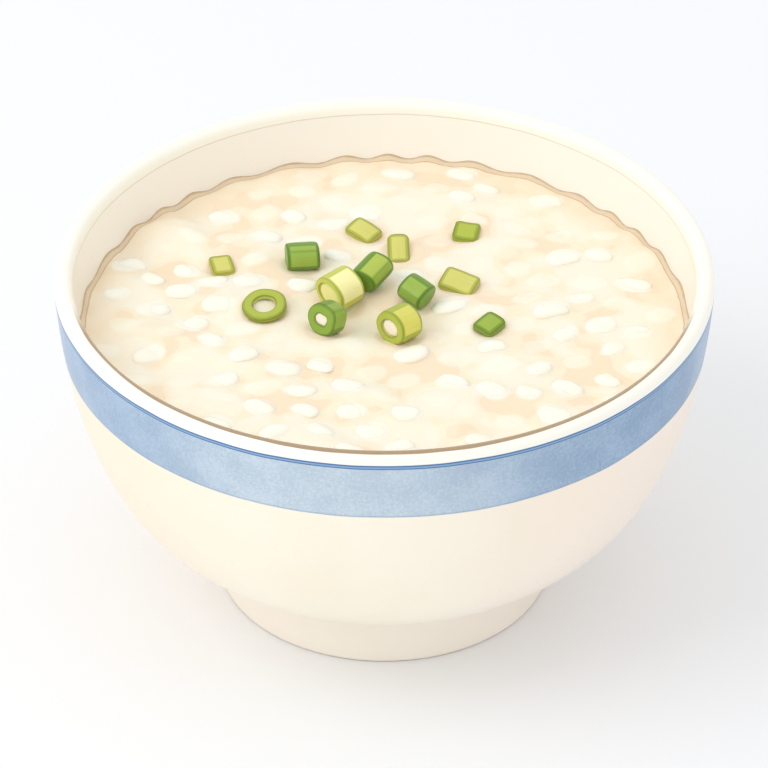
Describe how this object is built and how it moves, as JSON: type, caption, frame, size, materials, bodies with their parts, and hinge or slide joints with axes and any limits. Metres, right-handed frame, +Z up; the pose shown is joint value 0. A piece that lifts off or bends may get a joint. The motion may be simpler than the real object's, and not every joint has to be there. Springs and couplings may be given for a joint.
{
  "type": "congee bowl",
  "caption": "Round porcelain bowl on a foot ring, with a blue band under its lip, filled with rice congee and topped with cut scallion.",
  "frame": {"origin": "centre of the foot ring's underside, on the surface the bowl stands on", "axes": "+Z up along the bowl's axis; -Y faces the viewer of the usual view"},
  "size_m": [0.15, 0.15, 0.0839],
  "materials": {
    "glaze": "gloss",
    "congee": "satin",
    "leaf_green": "satin",
    "mid_green": "satin",
    "pale_green": "satin",
    "stem_cream": "satin"
  },
  "bodies": {
    "root": {"bowl": "glaze", "congee": "congee", "scallion_ring_flat": "mid_green", "scallion_ring_green": "leaf_green", "scallion_tube_front": "mid_green", "scallion_tube_pale": "stem_cream", "scallion_tube_left": "leaf_green", "scallion_tube_leaning": "leaf_green", "scallion_tube_right": "leaf_green", "scallion_chip_west": "pale_green", "scallion_chip_north": "pale_green", "scallion_chip_upright": "pale_green", "scallion_chip_east": "pale_green", "scallion_chip_far": "mid_green", "scallion_chip_near": "leaf_green"}
  },
  "joints": []
}
